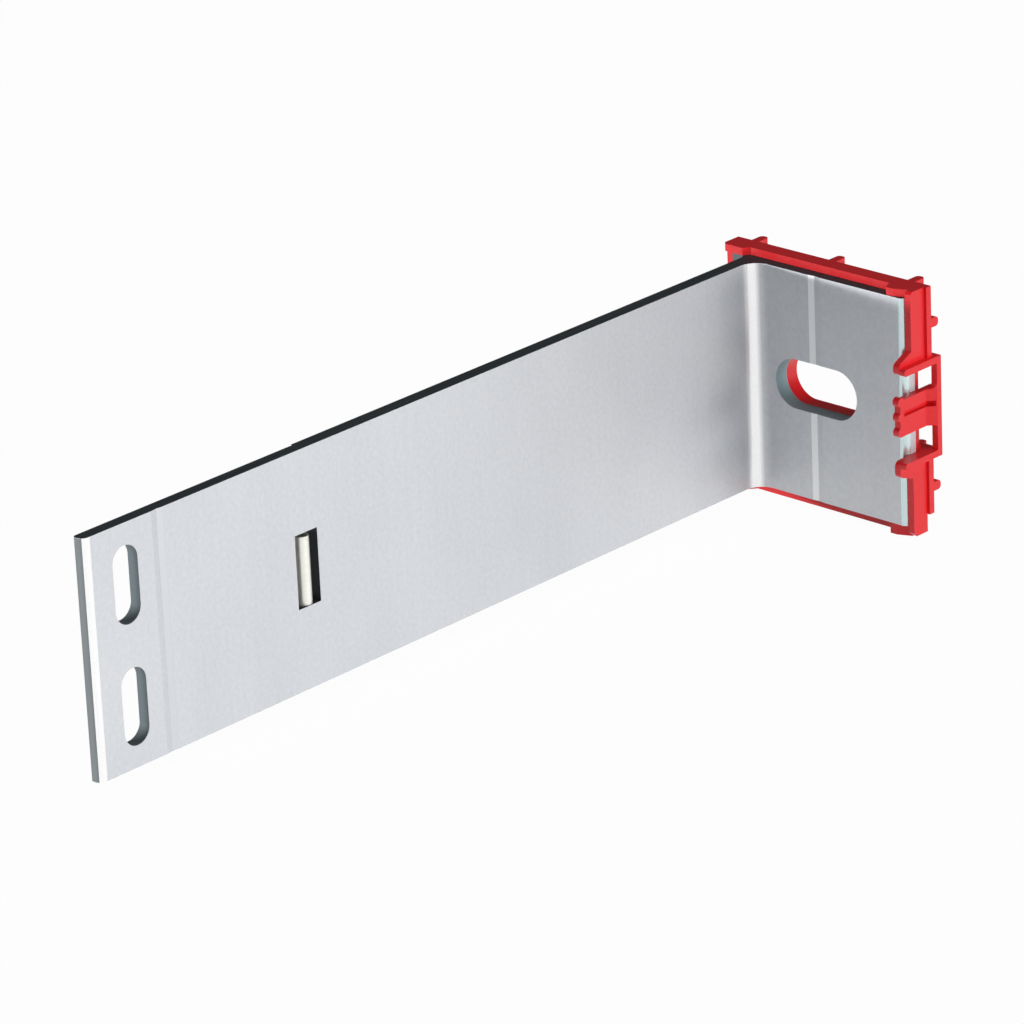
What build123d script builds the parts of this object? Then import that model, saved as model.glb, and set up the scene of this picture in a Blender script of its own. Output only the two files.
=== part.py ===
# Cladding bracket: a long extruded aluminium L with a moulded plastic isolator behind its foot
# and a small rolled spring clip seated in the window of its leg.
#
# Millimetres. The origin is the middle of the anchor slot on the wall face of the isolator.
# X runs along the foot, away from the leg. Y points into the wall, so the leg reaches along -Y.
# Z runs up the extrusion.

import os

from build123d import *

# Extruded bracket, outer sizes
bracket_height = 50.0
foot_width = 47.8
foot_thickness = 3.5
heel_thickness = 1.5
heel_reach = 4.3
heel_radius = 2.2
heel_end_radius = 0.4
leg_reach = 195.0
leg_thickness_root = 3.2
leg_thickness_tip = 2.8
shoulder_from_tip = 58.2
bend_radius = 4.0
foot_end_radius = 1.5
foot_end_back_radius = 0.4
tip_radius = 1.5
tip_back_radius = 0.8

# Openings and marking lines of the bracket
anchor_slot_length = 22.0
anchor_slot_height = 11.0
end_slot_width = 6.5
end_slot_length = 16.0
end_slot_from_tip = 10.3
end_slot_spacing = 25.0
window_width = 6.15
window_height = 15.5
window_from_tip = 57.8
marking_line_width = 3.0
marking_line_depth = 0.18
leg_line_from_tip = 19.2

# Isolator, the plate behind the foot with its lips and ribs
isolator_top_lip = 1.67
isolator_bottom_lip = 2.45
plate_thickness = 2.7
plate_low_step = 1.8
rib_depth = 3.3
rib_width = 2.0
rib_nose_radius = 0.8
rib_spacing = 21.0
cross_rib_offset = 18.0
cross_rib_setback = 0.3
heel_clearance = 0.25
lip_reach = 1.0
lip_clearance = 0.05
bottom_lip_depth = 1.2
heel_corner_reach = 2.4
heel_corner_flat = 5.4
heel_corner_slope = 1.2
heel_corner_round = 1.2
arm_corner_reach = 3.3
arm_corner_end_reach = 2.0
arm_corner_fall = 3.1
arm_corner_flat = 1.7
arm_corner_slope = 1.0
end_bead_width = 0.6
slot_collar_width = 2.0
slot_collar_depth = 0.6

# Isolator, the arms that wrap the end of the foot
arm_clearance = 0.1
arm_thickness = 1.5
arm_front = 0.3
arm_rear = 4.7
arm_gap_top = 9.85
arm_gap_bottom = 9.25
arm_top_chamfer = 0.5
arm_bottom_chamfer = 0.9
lower_arm_rise = 0.4
flange_thickness = 1.45
flange_reach = 1.5
flange_setback = 1.5
ledge_corner_round = 1.2
hook_reach = 3.8
hook_slope_start = 13.9
upper_hook_top = 12.0
lower_hook_low = 12.5
hook_far_round = 1.2
upper_hook_near_round = 0.8
lower_hook_near_round = 1.2
flange_nose_round = 0.6
hook_lip = 0.9
hook_lip_gap = 0.1
hook_lip_depth = 0.8
hook_lip_nose_set = 0.5
upper_lip_set = 0.2
lower_lip_set = 0.8

# Isolator, the latch between the arms
latch_top = 4.3
latch_bottom = 3.7
latch_reach = 3.5
latch_tooth_radius = 1.0
latch_tooth_pitch = 3.3
latch_tooth_rise = 0.25
latch_tooth_set = 0.3
latch_groove_height = 1.2
latch_groove_depth = 0.9
latch_groove_rise = 0.2
latch_groove_front = 2.3
latch_groove_back = 0.2
latch_ramp_length = 1.8
latch_top_web = 1.3
latch_bottom_web = 0.7
bar_depth = 1.35
notch_width = 3.15

# Spring clip in the window of the leg
clip_strip = 0.6
clip_eye_radius = 1.6
clip_height = 14.4
clip_leaf_length = 17.0
clip_leaf_straight = 11.9
clip_leaf_kick = 1.2
clip_eye_from_edge = 3.35

# Positions that several pieces share
stand_off = plate_thickness + rib_depth
half_height = bracket_height / 2
foot_end_x = foot_width / 2
heel_end_x = -foot_width / 2
leg_outer_x = heel_end_x + heel_reach
leg_inner_x = leg_outer_x + leg_thickness_root
leg_tip_back_x = leg_inner_x - leg_thickness_tip
foot_back_y = -stand_off
foot_front_y = foot_back_y - foot_thickness
heel_front_y = foot_back_y - heel_thickness
tip_y = foot_back_y - leg_reach
shoulder_y = tip_y + shoulder_from_tip
window_y = tip_y + window_from_tip

# A cut goes past the faces it opens by this much
past = 1.0


def block(x_min, x_max, y_min, y_max, z_min, z_max):
    size = Box(x_max - x_min, y_max - y_min, z_max - z_min, align=(Align.MIN, Align.MIN, Align.MIN))
    return Pos(x_min, y_min, z_min) * size


def upright(points, z_min, z_max):
    outline = make_face(Polyline(*points, close=True))
    return Pos(0, 0, z_min) * extrude(outline, amount=z_max - z_min)


def sideways(points, x_min, x_max):
    outline = make_face(Polyline(*points, close=True))
    return extrude(Plane.YZ.offset(x_min) * outline, amount=x_max - x_min)


def round_upright(solid, x, y, radius):
    edge = solid.edges().filter_by(Axis.Z).sort_by_distance((x, y, 0))[0]
    return fillet(edge, radius)


def round_sideways(solid, y, z, radius):
    middle_x = solid.center().X
    edge = solid.edges().filter_by(Axis.X).sort_by_distance((middle_x, y, z))[0]
    return fillet(edge, radius)


# The bracket is one extruded length, and its foot runs on past the leg as a thin heel
bracket_outline = [
    (heel_end_x, foot_back_y),
    (foot_end_x, foot_back_y),
    (foot_end_x, foot_front_y),
    (leg_inner_x, foot_front_y),
    (leg_inner_x, tip_y),
    (leg_tip_back_x, tip_y),
    (leg_tip_back_x, shoulder_y),
    (leg_outer_x, shoulder_y),
    (leg_outer_x, heel_front_y),
    (heel_end_x, heel_front_y),
]
bracket = upright(bracket_outline, -half_height, half_height)
bracket = round_upright(bracket, leg_inner_x, foot_front_y, bend_radius)
bracket = round_upright(bracket, leg_outer_x, heel_front_y, heel_radius)
bracket = round_upright(bracket, heel_end_x, heel_front_y, heel_end_radius)
bracket = round_upright(bracket, foot_end_x, foot_front_y, foot_end_radius)
bracket = round_upright(bracket, foot_end_x, foot_back_y, foot_end_back_radius)
bracket = round_upright(bracket, leg_inner_x, tip_y, tip_radius)
bracket = round_upright(bracket, leg_tip_back_x, tip_y, tip_back_radius)

# Marking lines, wide shallow grooves drawn by the die along the whole height
foot_line = [
    (-marking_line_width / 2, foot_front_y),
    (marking_line_width / 2, foot_front_y),
    (0, foot_front_y + marking_line_depth),
]
bracket -= upright(foot_line, -half_height, half_height)
leg_line_y = tip_y + leg_line_from_tip
leg_line = [
    (leg_inner_x, leg_line_y - marking_line_width / 2),
    (leg_inner_x, leg_line_y + marking_line_width / 2),
    (leg_inner_x - marking_line_depth, leg_line_y),
]
bracket -= upright(leg_line, -half_height, half_height)

# The anchor slot through the foot
anchor_outline = Plane.XZ * SlotOverall(anchor_slot_length, anchor_slot_height)
anchor_cut = extrude(anchor_outline, amount=stand_off + foot_thickness + past)
bracket -= anchor_cut

# Two upright slots near the tip of the leg
end_slot_y = tip_y + end_slot_from_tip
for end_slot_z in (-end_slot_spacing / 2, end_slot_spacing / 2):
    end_slot_plane = Plane.YZ.offset(leg_outer_x - past) * Pos(end_slot_y, end_slot_z)
    end_slot_outline = end_slot_plane * SlotOverall(end_slot_length, end_slot_width, rotation=90)
    bracket -= extrude(end_slot_outline, amount=leg_thickness_root + 2 * past)

# The rectangular window over the shoulder
bracket -= block(
    leg_outer_x - past,
    leg_inner_x + past,
    window_y - window_width / 2,
    window_y + window_width / 2,
    -window_height / 2,
    window_height / 2,
)

# The isolator starts as a plate behind the foot
arm_inner_x = foot_end_x + arm_clearance
arm_outer_x = arm_inner_x + arm_thickness
side_wall_inner_x = heel_end_x - heel_clearance
side_wall_outer_x = side_wall_inner_x - arm_thickness
isolator_top = half_height + isolator_top_lip
isolator_bottom = -half_height - isolator_bottom_lip
plate_back_y = -rib_depth
plate_low = -half_height + plate_low_step
isolator = block(side_wall_outer_x, arm_outer_x, foot_back_y, plate_back_y, plate_low, isolator_top)

# Ribs toward the wall
for rib_x in (-rib_spacing, 0, rib_spacing):
    rib_outline = [
        (rib_x - rib_width / 2, plate_back_y),
        (rib_x + rib_width / 2, plate_back_y),
        (rib_x + rib_width / 2, 0),
        (rib_x - rib_width / 2, 0),
    ]
    rib = upright(rib_outline, plate_low, isolator_top)
    rib_nose = rib.edges().filter_by(Axis.Z).group_by(Axis.Y)[-1]
    isolator += fillet(rib_nose, rib_nose_radius)
for rib_z in (-cross_rib_offset, cross_rib_offset):
    cross_outline = [
        (plate_back_y, rib_z - rib_width / 2),
        (0, rib_z - rib_width / 2),
        (0, rib_z + rib_width / 2),
        (plate_back_y, rib_z + rib_width / 2),
    ]
    cross_rib = sideways(cross_outline, side_wall_outer_x, arm_outer_x - cross_rib_setback)
    cross_nose = cross_rib.edges().filter_by(Axis.X).group_by(Axis.Y)[-1]
    isolator += fillet(cross_nose, rib_nose_radius)

# Lips over the top and bottom edges of the foot
lip_front_y = foot_back_y - lip_reach
lip_top_z = half_height + lip_clearance
lip_bottom_z = -half_height - lip_clearance
isolator += block(side_wall_outer_x, arm_outer_x, lip_front_y, foot_back_y, lip_top_z, isolator_top)
isolator += block(side_wall_outer_x, arm_outer_x, lip_front_y, foot_back_y, isolator_bottom, lip_bottom_z)
isolator += block(
    side_wall_outer_x,
    arm_outer_x,
    foot_back_y,
    foot_back_y + bottom_lip_depth,
    isolator_bottom,
    plate_low,
)

# Both lips are deeper at their ends: a block with a slope at the heel, a wedge at the arms
heel_corner_front_y = foot_back_y - heel_corner_reach
heel_corner_start_x = side_wall_outer_x + heel_corner_flat
heel_corner = [
    (side_wall_outer_x, lip_front_y),
    (side_wall_outer_x, heel_corner_front_y),
    (heel_corner_start_x, heel_corner_front_y),
    (heel_corner_start_x + heel_corner_slope, lip_front_y),
]
arm_corner_front_y = foot_back_y - arm_corner_reach
arm_corner_end_y = foot_back_y - arm_corner_end_reach
arm_corner_peak_x = arm_inner_x - arm_corner_fall
arm_corner_start_x = arm_corner_peak_x - arm_corner_flat
arm_corner = [
    (arm_outer_x, lip_front_y),
    (arm_outer_x, arm_corner_end_y),
    (arm_inner_x, arm_corner_end_y),
    (arm_corner_peak_x, arm_corner_front_y),
    (arm_corner_start_x, arm_corner_front_y),
    (arm_corner_start_x - arm_corner_slope, lip_front_y),
]
for corner_low, corner_high in ((lip_top_z, isolator_top), (isolator_bottom, lip_bottom_z)):
    heel_lip = upright(heel_corner, corner_low, corner_high)
    isolator += round_upright(heel_lip, side_wall_outer_x, heel_corner_front_y, heel_corner_round)
    isolator += upright(arm_corner, corner_low, corner_high)

# Collar around the anchor slot, then the slot itself
collar_outline = SlotOverall(
    anchor_slot_length + 2 * slot_collar_width,
    anchor_slot_height + 2 * slot_collar_width,
)
isolator -= extrude(Plane.XZ * collar_outline, amount=rib_depth)
collar_plane = Plane.XZ.offset(rib_depth - slot_collar_depth) * collar_outline
isolator += extrude(collar_plane, amount=slot_collar_depth)
isolator -= anchor_cut

# The side wall stands just beyond the heel
isolator += block(
    side_wall_outer_x,
    side_wall_inner_x,
    lip_front_y,
    foot_back_y,
    isolator_bottom,
    isolator_top,
)

# A bead thickens the plate's end behind the arms
arm_front_y = foot_front_y + arm_front
arm_rear_y = foot_front_y + arm_rear
end_bead_x = arm_outer_x + end_bead_width
isolator += block(arm_outer_x, end_bead_x, arm_rear_y, plate_back_y, plate_low, isolator_top)

# Room for the latch to spring: the plate and its rib stop short between the arms
notch_start_x = arm_outer_x - notch_width
notch_end_x = end_bead_x + past
notch = block(notch_start_x, notch_end_x, foot_back_y, past, -arm_gap_bottom, arm_gap_top)
notch_corner = notch.edges().filter_by(Axis.Y).sort_by_distance((notch_start_x, 0, -arm_gap_bottom))[0]
isolator -= fillet(notch_corner, ledge_corner_round)
ledge_start_x = rib_spacing - rib_width / 2
isolator -= block(ledge_start_x, notch_end_x, plate_back_y, past, -arm_gap_bottom, arm_gap_top)

# Upper and lower arms with their hooks, seen from the end of the foot
hook_tip_y = foot_front_y - hook_reach
upper_arm_outline = [
    (arm_rear_y, isolator_top),
    (arm_front_y + arm_top_chamfer, isolator_top),
    (arm_front_y, isolator_top - arm_top_chamfer),
    (arm_front_y, hook_slope_start),
    (hook_tip_y, upper_hook_top),
    (hook_tip_y, arm_gap_top),
    (arm_rear_y, arm_gap_top),
]
lower_arm_bottom = isolator_bottom + lower_arm_rise
lower_arm_outline = [
    (arm_rear_y, lower_arm_bottom + 2 * arm_bottom_chamfer),
    (arm_rear_y - arm_bottom_chamfer, lower_arm_bottom),
    (arm_front_y + arm_bottom_chamfer, lower_arm_bottom),
    (arm_front_y, lower_arm_bottom + arm_bottom_chamfer),
    (arm_front_y, -hook_slope_start),
    (hook_tip_y, -lower_hook_low),
    (hook_tip_y, -arm_gap_bottom),
    (arm_rear_y, -arm_gap_bottom),
]
upper_arm = sideways(upper_arm_outline, arm_inner_x, arm_outer_x)
upper_arm = round_sideways(upper_arm, hook_tip_y, upper_hook_top, hook_far_round)
upper_arm = round_sideways(upper_arm, hook_tip_y, arm_gap_top, upper_hook_near_round)
lower_arm = sideways(lower_arm_outline, arm_inner_x, arm_outer_x)
lower_arm = round_sideways(lower_arm, hook_tip_y, -lower_hook_low, hook_far_round)
lower_arm = round_sideways(lower_arm, hook_tip_y, -arm_gap_bottom, lower_hook_near_round)

# The bottom lip ends under the lower arm, which stops a little higher
isolator -= block(
    arm_inner_x,
    end_bead_x + past,
    arm_corner_end_y - past,
    0,
    isolator_bottom - past,
    lower_arm_bottom,
)
isolator += upper_arm
isolator += lower_arm

# Ledges above and below the notch turn outward as flanges along the arms
bar_back_y = -flange_setback
bar_front_y = bar_back_y - bar_depth
flange_outer_x = arm_outer_x + flange_reach
for ledge_low, ledge_high in (
    (arm_gap_top, arm_gap_top + flange_thickness),
    (-arm_gap_bottom - flange_thickness, -arm_gap_bottom),
):
    isolator += block(ledge_start_x, arm_outer_x, plate_back_y, bar_back_y, ledge_low, ledge_high)
    flange = block(arm_outer_x, flange_outer_x, hook_tip_y, bar_back_y, ledge_low, ledge_high)
    flange = round_sideways(flange, hook_tip_y, ledge_high, flange_nose_round)
    flange = round_sideways(flange, hook_tip_y, ledge_low, flange_nose_round)
    isolator += flange

# An upright bar joins the two flanges and carries the latch
isolator += block(
    arm_outer_x,
    flange_outer_x,
    bar_front_y,
    bar_back_y,
    -arm_gap_bottom - flange_thickness,
    arm_gap_top + flange_thickness,
)

# The toothed latch plate and its finger groove
latch_tip_y = foot_front_y - latch_reach
latch_outline = [
    (arm_inner_x, latch_tip_y),
    (arm_outer_x, latch_tip_y),
    (arm_outer_x, bar_front_y - latch_ramp_length),
    (flange_outer_x, bar_front_y),
    (flange_outer_x, bar_back_y),
    (arm_inner_x, bar_back_y),
]
latch = upright(latch_outline, -latch_bottom, latch_top)
latch_middle = (latch_top - latch_bottom) / 2
for tooth_step in (-1, 0, 1):
    tooth_z = latch_middle + latch_tooth_rise + tooth_step * latch_tooth_pitch
    tooth = Cylinder(latch_tooth_radius, arm_thickness, rotation=(0, 90, 0))
    latch += Pos((arm_inner_x + arm_outer_x) / 2, latch_tip_y + latch_tooth_set, tooth_z) * tooth
latch -= block(
    arm_outer_x - latch_groove_depth,
    flange_outer_x + past,
    foot_front_y - latch_groove_front,
    bar_front_y - latch_groove_back,
    latch_middle + latch_groove_rise,
    latch_middle + latch_groove_rise + latch_groove_height,
)
isolator += latch

# The latch runs into the bar with a rounded web above and below
for web_z, web_side, web_radius in ((latch_top, 1, latch_top_web), (-latch_bottom, -1, latch_bottom_web)):
    web_start_y = bar_front_y - web_radius
    web_far_z = web_z + web_side * web_radius
    web_outline = [
        (arm_outer_x, web_start_y),
        (flange_outer_x - flange_reach * web_radius / latch_ramp_length, web_start_y),
        (flange_outer_x, bar_front_y),
        (arm_outer_x, bar_front_y),
    ]
    web = upright(web_outline, min(web_z, web_far_z), max(web_z, web_far_z))
    hollow = Cylinder(web_radius, flange_reach + 2 * past, rotation=(0, 90, 0))
    isolator += web - Pos((arm_outer_x + flange_outer_x) / 2, web_start_y, web_far_z) * hollow

# Hook lips that snap over the front face of the foot
lip_face_y = foot_front_y - hook_lip_gap
for lip_low, lip_high in (
    (arm_gap_top + upper_lip_set, upper_hook_top - hook_far_round),
    (-lower_hook_low + hook_far_round, -arm_gap_bottom - lower_lip_set),
):
    isolator += upright(
        [
            (arm_inner_x, lip_face_y),
            (arm_inner_x - hook_lip, lip_face_y),
            (arm_inner_x - hook_lip, lip_face_y - hook_lip_depth),
            (arm_inner_x, hook_tip_y + hook_lip_nose_set),
        ],
        lip_low,
        lip_high,
    )

# The spring clip: a rolled eye in the window and a leaf along the back of the leg
clip_low = -window_height / 2
clip_high = clip_low + clip_height
eye_x = leg_tip_back_x - clip_strip + clip_eye_radius
eye_y = window_y - window_width / 2 + clip_eye_from_edge
eye_centre = Pos(eye_x, eye_y, clip_low)
standing = (Align.CENTER, Align.CENTER, Align.MIN)
eye_outer = eye_centre * Cylinder(clip_eye_radius, clip_height, align=standing)
eye_bore = eye_centre * Cylinder(clip_eye_radius - clip_strip, clip_height, align=standing)
leaf_back_x = leg_tip_back_x - clip_strip
leaf_bend_y = eye_y - clip_leaf_straight
leaf_end_y = eye_y - clip_leaf_length
leaf_outline = [
    (leg_tip_back_x, eye_y),
    (leg_tip_back_x, leaf_bend_y),
    (leg_tip_back_x - clip_leaf_kick, leaf_end_y),
    (leaf_back_x - clip_leaf_kick, leaf_end_y),
    (leaf_back_x, leaf_bend_y),
    (leaf_back_x, eye_y),
]
spring_clip = (eye_outer + upright(leaf_outline, clip_low, clip_high)) - eye_bore

os.makedirs("parts", exist_ok=True)
export_step(bracket, "parts/bracket.step")
export_step(isolator, "parts/isolator.step")
export_step(spring_clip, "parts/spring_clip.step")
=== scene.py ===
import bmesh
import bpy
from mathutils import Matrix, Vector


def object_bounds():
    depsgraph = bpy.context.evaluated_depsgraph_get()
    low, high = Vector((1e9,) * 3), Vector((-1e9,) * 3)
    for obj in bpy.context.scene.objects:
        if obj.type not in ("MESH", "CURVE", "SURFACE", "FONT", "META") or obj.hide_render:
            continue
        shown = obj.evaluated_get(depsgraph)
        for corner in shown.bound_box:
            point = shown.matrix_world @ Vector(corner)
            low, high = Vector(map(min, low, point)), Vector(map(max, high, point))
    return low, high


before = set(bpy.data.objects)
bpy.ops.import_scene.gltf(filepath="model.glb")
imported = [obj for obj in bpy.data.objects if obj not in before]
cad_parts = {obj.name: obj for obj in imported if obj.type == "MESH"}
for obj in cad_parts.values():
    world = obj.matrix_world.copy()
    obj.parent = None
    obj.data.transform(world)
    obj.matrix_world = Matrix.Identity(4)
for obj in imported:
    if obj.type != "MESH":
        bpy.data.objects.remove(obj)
cad_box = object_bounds()

scene = bpy.context.scene
scene.view_settings.view_transform = "Standard"


# Places on the bracket, in metres: X along the foot, -Y along the leg, Z up the extrusion.
# Each box is its low corner and its high corner.

past_ends = 0.02600
short_of_ends = 0.02495
bend_box = ((-0.01645, -0.01355, -past_ends), (-0.01235, -0.00945, past_ends))
tip_round_box = ((-0.01700, -0.20105, -past_ends), (-0.01635, -0.19915, past_ends))
foot_end_round_box = ((0.02235, -0.00955, -past_ends), (0.02395, -0.00795, past_ends))
foot_line_box = ((-0.00155, -0.00955, -past_ends), (0.00000, -0.00925, past_ends))
leg_line_box = ((-0.01665, -0.18180, -past_ends), (-0.01635, -0.18025, past_ends))
anchor_slot_box = ((-0.01105, -0.00945, -0.00555), (0.01105, -0.00605, 0.00555))
upper_end_slot_box = ((-0.01915, -0.19405, 0.00445), (-0.01645, -0.18735, 0.02055))
lower_end_slot_box = ((-0.01915, -0.19405, -0.02055), (-0.01645, -0.18735, -0.00445))
window_box = ((-0.01955, -0.14635, -0.00780), (-0.01645, -0.14005, 0.00780))
tip_end_box = ((-0.01925, -0.20105, -short_of_ends), (-0.01700, -0.19995, short_of_ends))
heel_flank_box = ((-0.02395, -0.00975, -short_of_ends), (-0.01965, -0.00745, short_of_ends))

# The painted highlight band across the bend, as X + Y: where it starts, is full, starts to fade and ends
band_start, band_full, band_fade, band_end = -0.0292, -0.0279, -0.0258, -0.0242

# Finish of the aluminium
metal_dark = (0.535, 0.55, 0.575, 1.0)
metal_light = (0.645, 0.66, 0.685, 1.0)
# Painted highlight colour for the bend and for the rounds at the tip and foot end
painted_highlight_colour = (0.97, 0.97, 0.975, 1.0)
# Sawn ends: nearly black tones that are painted shade, varied by the saw marks
sawn_painted_shade_dark = (0.03, 0.04, 0.045, 1.0)
sawn_painted_shade_light = (0.10, 0.12, 0.13, 1.0)
# Painted shade inside the end slots
end_slot_shade_colour = (0.17, 0.205, 0.22, 1.0)
# Painted light: a painted highlight on the foot's line and on the foot's end round, painted shade on the
# leg's line
painted_light_places = (
    (foot_line_box, (0.82, 0.83, 0.84, 1.0)),
    (leg_line_box, (0.565, 0.575, 0.595, 1.0)),
    (foot_end_round_box, (0.63, 0.76, 0.765, 1.0)),
)
# Painted shade on the walls of the slots and the window, on the tip's end and on the heel's flank
painted_shade_walls = (
    (anchor_slot_box, (0.33, 0.46, 0.49, 1.0)),
    (upper_end_slot_box, end_slot_shade_colour),
    (lower_end_slot_box, end_slot_shade_colour),
    (window_box, (0.03, 0.035, 0.04, 1.0)),
    (tip_end_box, (0.22, 0.24, 0.25, 1.0)),
    (heel_flank_box, (0.15, 0.185, 0.19, 1.0)),
)
grain_amount = 0.3
line_amount = 0.05
burnished_smoothing = 0.26
cut_roughening = 0.22
metal_share = 0.75
upright_limit = 0.9

# Floor, camera and studio
floor_half_size = 6.0
floor_gap = 0.0002
floor_white_share = 0.97
studio_strength = 0.08
camera_place = (0.7383, -0.8724, 0.4307)
camera_lens = 205.18
middle = (0.0, -0.1, 0.0)
soft_boxes = (
    ("key_softbox", (1.459, 0.210, 0.157), 0.4, 0.28, 8.2),
    ("right_softbox", (1.363, 0.507, 0.157), 0.4, 0.28, 3.2),
    ("side_softbox", (1.441, -0.486, 0.157), 0.4, 0.28, 2.4),
    ("front_softbox", (1.036, -1.173, 0.131), 0.3, 0.2, 1.8),
    ("left_softbox", (-0.513, -1.509, 0.039), 0.5, 0.03, 15.0),
    ("top_softbox", (0.260, -0.100, 1.477), 0.8, 0.8, 6.5),
)


# Material helpers

def new_material(name):
    material = bpy.data.materials.new(name)
    material.use_nodes = True
    nodes = material.node_tree.nodes
    links = material.node_tree.links
    nodes.clear()
    output = nodes.new("ShaderNodeOutputMaterial")
    shader = nodes.new("ShaderNodeBsdfPrincipled")
    links.new(shader.outputs["BSDF"], output.inputs["Surface"])
    return material, nodes, links, shader


def object_position(nodes, links, scale):
    place = nodes.new("ShaderNodeTexCoord")
    mapping = nodes.new("ShaderNodeMapping")
    mapping.inputs["Scale"].default_value = scale
    links.new(place.outputs["Object"], mapping.inputs["Vector"])
    return mapping.outputs["Vector"]


def object_axes(nodes, links):
    place = nodes.new("ShaderNodeTexCoord")
    split = nodes.new("ShaderNodeSeparateXYZ")
    links.new(place.outputs["Object"], split.inputs["Vector"])
    return split.outputs


def noise(nodes, links, stretch, scale, detail=3.0, roughness=0.5):
    texture = nodes.new("ShaderNodeTexNoise")
    texture.inputs["Scale"].default_value = scale
    texture.inputs["Detail"].default_value = detail
    texture.inputs["Roughness"].default_value = roughness
    links.new(object_position(nodes, links, stretch), texture.inputs["Vector"])
    return texture.outputs["Fac"]


def remap(nodes, links, value, low, high, low_out, high_out):
    step = nodes.new("ShaderNodeMapRange")
    step.inputs["From Min"].default_value = low
    step.inputs["From Max"].default_value = high
    step.inputs["To Min"].default_value = low_out
    step.inputs["To Max"].default_value = high_out
    links.new(value, step.inputs["Value"])
    return step.outputs["Result"]


def mix_colour(nodes, links, factor, first, second):
    mix = nodes.new("ShaderNodeMix")
    mix.data_type = "RGBA"
    links.new(factor, mix.inputs["Factor"])
    for socket, colour in ((mix.inputs["A"], first), (mix.inputs["B"], second)):
        if isinstance(colour, tuple):
            socket.default_value = colour
        else:
            links.new(colour, socket)
    return mix.outputs["Result"]


def math_node(nodes, links, operation, first, second):
    step = nodes.new("ShaderNodeMath")
    step.operation = operation
    for socket, value in ((step.inputs[0], first), (step.inputs[1], second)):
        if isinstance(value, (int, float)):
            socket.default_value = value
        else:
            links.new(value, socket)
    return step.outputs[0]


def bump(nodes, links, height, strength, distance):
    step = nodes.new("ShaderNodeBump")
    step.inputs["Strength"].default_value = strength
    step.inputs["Distance"].default_value = distance
    links.new(height, step.inputs["Height"])
    return step


# One on faces that look up or down, which are the sawn ends of the extrusion

def sawn_ends(nodes, links):
    geometry = nodes.new("ShaderNodeNewGeometry")
    split = nodes.new("ShaderNodeSeparateXYZ")
    links.new(geometry.outputs["Normal"], split.inputs["Vector"])
    upright = math_node(nodes, links, "ABSOLUTE", split.outputs["Z"], 0.0)
    return math_node(nodes, links, "GREATER_THAN", upright, upright_limit)


# One inside a box of the part and nought outside it, so that a spot can have its own tone

def inside_box(nodes, links, box):
    axes = object_axes(nodes, links)
    inside = None
    for axis, start, end in zip("XYZ", *box):
        above = math_node(nodes, links, "GREATER_THAN", axes[axis], start)
        below = math_node(nodes, links, "LESS_THAN", axes[axis], end)
        both = math_node(nodes, links, "MULTIPLY", above, below)
        inside = both if inside is None else math_node(nodes, links, "MULTIPLY", inside, both)
    return inside


# Painted highlight on the inside of the bend, bright along its middle, fading out to both flanks

def painted_bend_highlight(nodes, links):
    axes = object_axes(nodes, links)
    across = math_node(nodes, links, "ADD", axes["X"], axes["Y"])
    rise = remap(nodes, links, across, band_start, band_full, 0.0, 1.0)
    fall = remap(nodes, links, across, band_fade, band_end, 1.0, 0.0)
    band = math_node(nodes, links, "MULTIPLY", rise, fall)
    return math_node(nodes, links, "MULTIPLY", band, inside_box(nodes, links, bend_box))


# Mill-finish aluminium: an even fine grain, faint die lines up the extrusion, rough cut edges; painted
# shade on the sawn ends, slot walls, tip end and heel flank, painted highlight on the bend, rounds and
# foot line

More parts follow.
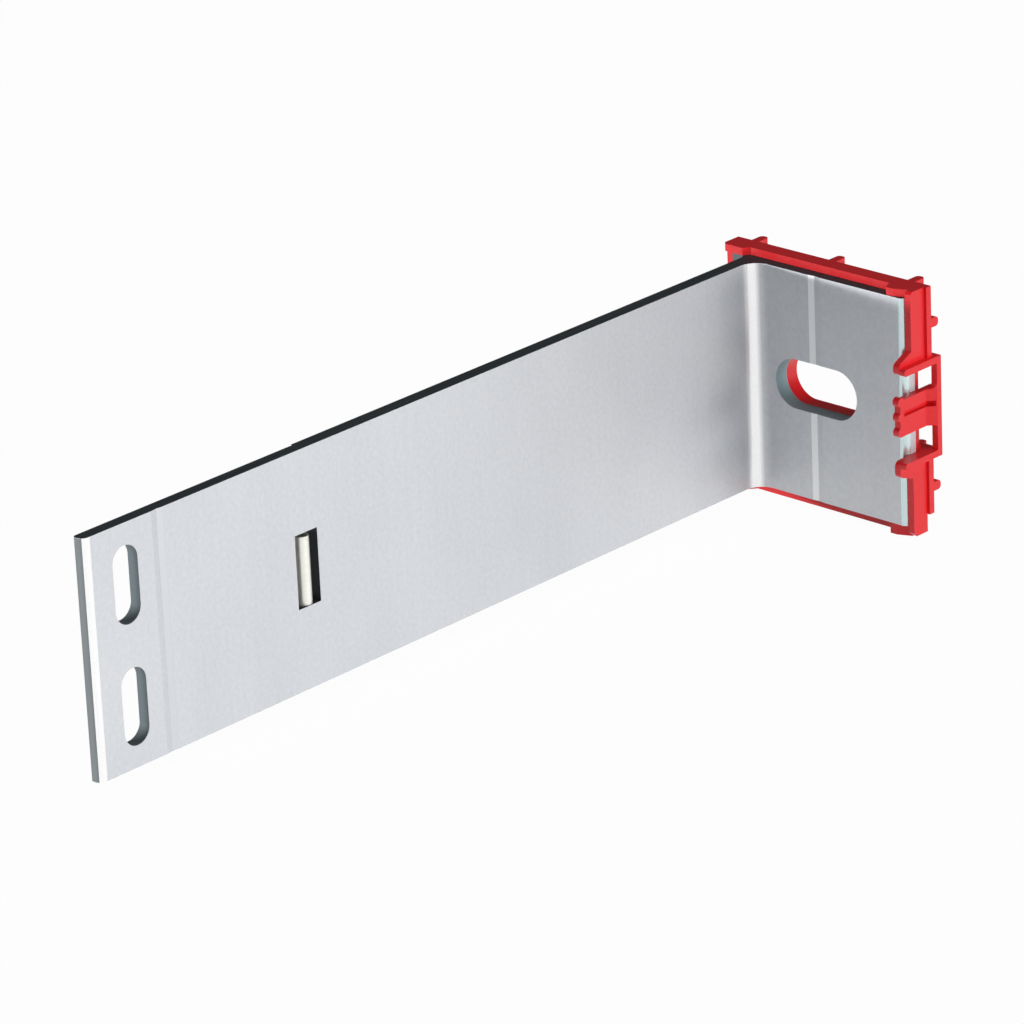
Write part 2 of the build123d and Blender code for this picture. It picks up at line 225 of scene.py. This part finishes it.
def extruded_aluminium():
    material, nodes, links, shader = new_material("extruded_aluminium")
    lines = noise(nodes, links, (1.0, 1.0, 0.01), 700.0)
    grain = noise(nodes, links, (1.0, 1.0, 1.0), 1100.0, roughness=0.6)
    clouds = noise(nodes, links, (1.0, 1.0, 0.6), 30.0)
    grain_tone = remap(nodes, links, grain, 0.25, 0.75, -grain_amount, grain_amount)
    line_tone = remap(nodes, links, lines, 0.25, 0.75, -line_amount, line_amount)
    tone = math_node(nodes, links, "ADD", grain_tone, line_tone)
    tone = math_node(nodes, links, "ADD", tone, clouds)
    colour = mix_colour(nodes, links, tone, metal_dark, metal_light)

    # Painted highlight on the bend and on the rounds at the tip and foot end; these are also made
    # smoother
    painted_highlight_mask = painted_bend_highlight(nodes, links)
    for box in (tip_round_box, foot_end_round_box):
        painted_highlight_mask = math_node(nodes, links, "MAXIMUM", painted_highlight_mask, inside_box(nodes, links, box))
    colour = mix_colour(nodes, links, painted_highlight_mask, colour, painted_highlight_colour)
    # Painted highlight on the foot's line and end round, painted shade on the leg's line
    for box, painted_light_colour in painted_light_places:
        colour = mix_colour(nodes, links, inside_box(nodes, links, box), colour, painted_light_colour)

    # The sawn ends get a dark colour that is painted shade, streaked by saw marks
    saw_marks = noise(nodes, links, (1.0, 0.02, 1.0), 1400.0)
    sawn = sawn_ends(nodes, links)
    sawn_painted_shade_colour = mix_colour(nodes, links, saw_marks, sawn_painted_shade_dark, sawn_painted_shade_light)
    colour = mix_colour(nodes, links, sawn, colour, sawn_painted_shade_colour)
    cut = sawn
    # Painted shade on the slot and window walls, the tip's end and the heel's flank; these places are
    # also made rougher
    for box, painted_shade_colour in painted_shade_walls:
        painted_shade_place = inside_box(nodes, links, box)
        colour = mix_colour(nodes, links, painted_shade_place, colour, painted_shade_colour)
        cut = math_node(nodes, links, "MAXIMUM", cut, painted_shade_place)
    links.new(colour, shader.inputs["Base Color"])

    face_roughness = remap(nodes, links, clouds, 0.3, 0.7, 0.50, 0.54)
    smoother = math_node(nodes, links, "MULTIPLY", painted_highlight_mask, burnished_smoothing)
    rougher = math_node(nodes, links, "MULTIPLY", cut, cut_roughening)
    roughness = math_node(nodes, links, "SUBTRACT", face_roughness, smoother)
    roughness = math_node(nodes, links, "ADD", roughness, rougher)
    links.new(roughness, shader.inputs["Roughness"])
    shader.inputs["Metallic"].default_value = metal_share

    relief = bump(nodes, links, grain, 0.15, 0.00003)
    saw_relief = math_node(nodes, links, "MULTIPLY", saw_marks, sawn)
    cut_relief = bump(nodes, links, saw_relief, 0.5, 0.00008)
    links.new(relief.outputs["Normal"], cut_relief.inputs["Normal"])
    links.new(cut_relief.outputs["Normal"], shader.inputs["Normal"])
    return material


# Moulded polyamide: even red with a soft gloss and a faint mould texture

def red_moulded_plastic():
    material, nodes, links, shader = new_material("red_moulded_plastic")
    grain = noise(nodes, links, (1.0, 1.0, 1.0), 900.0)
    flow = noise(nodes, links, (1.0, 1.0, 0.6), 60.0, detail=2.0)
    colour = mix_colour(nodes, links, flow, (0.77, 0.009, 0.014, 1.0), (0.84, 0.016, 0.023, 1.0))
    links.new(colour, shader.inputs["Base Color"])
    links.new(remap(nodes, links, grain, 0.3, 0.7, 0.30, 0.42), shader.inputs["Roughness"])
    relief = bump(nodes, links, grain, 0.15, 0.00003)
    links.new(relief.outputs["Normal"], shader.inputs["Normal"])
    return material


# Thin spring strip: warm stainless steel, brushed along its rolling direction

def spring_strip():
    material, nodes, links, shader = new_material("spring_strip")
    brush = noise(nodes, links, (1.0, 0.05, 1.0), 1600.0)
    colour = mix_colour(nodes, links, brush, (0.84, 0.83, 0.76, 1.0), (0.93, 0.92, 0.86, 1.0))
    links.new(colour, shader.inputs["Base Color"])
    shader.inputs["Metallic"].default_value = 0.6
    links.new(remap(nodes, links, brush, 0.3, 0.7, 0.30, 0.40), shader.inputs["Roughness"])
    relief = bump(nodes, links, brush, 0.10, 0.00002)
    links.new(relief.outputs["Normal"], shader.inputs["Normal"])
    return material


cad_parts["bracket"].material_slots[0].material = extruded_aluminium()
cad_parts["isolator"].material_slots[0].material = red_moulded_plastic()
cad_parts["spring_clip"].material_slots[0].material = spring_strip()


# One on rays that show the surroundings: straight to the camera, or mirrored or seen through

def shown_ray(nodes, links):
    ray = nodes.new("ShaderNodeLightPath")
    shown = math_node(nodes, links, "MAXIMUM", ray.outputs["Is Camera Ray"], ray.outputs["Is Glossy Ray"])
    return math_node(nodes, links, "MAXIMUM", shown, ray.outputs["Is Transmission Ray"])


# Floor, pale and seen white, still darkened a little by the object's shadow

def floor_material():
    material = bpy.data.materials.new("pale_floor")
    material.use_nodes = True
    nodes = material.node_tree.nodes
    links = material.node_tree.links
    nodes.clear()
    output = nodes.new("ShaderNodeOutputMaterial")
    plain = nodes.new("ShaderNodeBsdfDiffuse")
    plain.inputs["Color"].default_value = (0.9, 0.9, 0.9, 1.0)
    white = nodes.new("ShaderNodeEmission")
    white.inputs["Color"].default_value = (1.0, 1.0, 1.0, 1.0)
    white.inputs["Strength"].default_value = 1.0
    share = math_node(nodes, links, "MULTIPLY", shown_ray(nodes, links), floor_white_share)
    mix = nodes.new("ShaderNodeMixShader")
    links.new(share, mix.inputs["Fac"])
    links.new(plain.outputs["BSDF"], mix.inputs[1])
    links.new(white.outputs["Emission"], mix.inputs[2])
    links.new(mix.outputs["Shader"], output.inputs["Surface"])
    return material


def make_floor():
    shape = bmesh.new()
    bmesh.ops.create_grid(shape, x_segments=1, y_segments=1, size=floor_half_size)
    bmesh.ops.translate(shape, verts=shape.verts, vec=(0.0, 0.0, cad_box[0][2] - floor_gap))
    mesh = bpy.data.meshes.new("floor")
    shape.to_mesh(mesh)
    shape.free()
    mesh.materials.append(floor_material())
    floor = bpy.data.objects.new("floor", mesh)
    scene.collection.objects.link(floor)


make_floor()


# Camera at the photograph's angle

view_out = Vector((0.6423, -0.6699, 0.3724)).normalized()
view_up = Vector((-0.2245, 0.3000, 0.9271))
view_up = (view_up - view_out * view_up.dot(view_out)).normalized()
view_right = view_up.cross(view_out)
view_turn = Matrix((view_right, view_up, view_out)).transposed().to_4x4()
camera_data = bpy.data.cameras.new("camera")
camera_data.sensor_width = 36.0
camera_data.lens = camera_lens
camera_data.clip_start = 0.01
camera_data.clip_end = 50.0
camera = bpy.data.objects.new("camera", camera_data)
camera.matrix_world = Matrix.Translation(camera_place) @ view_turn
scene.collection.objects.link(camera)
scene.camera = camera


# Soft studio light

def soft_box(name, place, width, height, strength):
    lamp = bpy.data.lights.new(name, "AREA")
    lamp.shape = "RECTANGLE"
    lamp.size = width
    lamp.size_y = height
    lamp.energy = strength
    holder = bpy.data.objects.new(name, lamp)
    direction = Vector(middle) - Vector(place)
    holder.rotation_euler = direction.to_track_quat("-Z", "Y").to_euler()
    holder.location = place
    scene.collection.objects.link(holder)


for box_of_light in soft_boxes:
    soft_box(*box_of_light)


# The studio above the pale floor is dim, so the tops stay dark as they do in the photograph

def dim_studio():
    world = bpy.data.worlds.new("studio")
    world.use_nodes = True
    soft = world.node_tree.nodes["Background"]
    soft.inputs["Color"].default_value = (1.0, 1.0, 1.0, 1.0)
    soft.inputs["Strength"].default_value = studio_strength
    return world


scene.world = dim_studio()
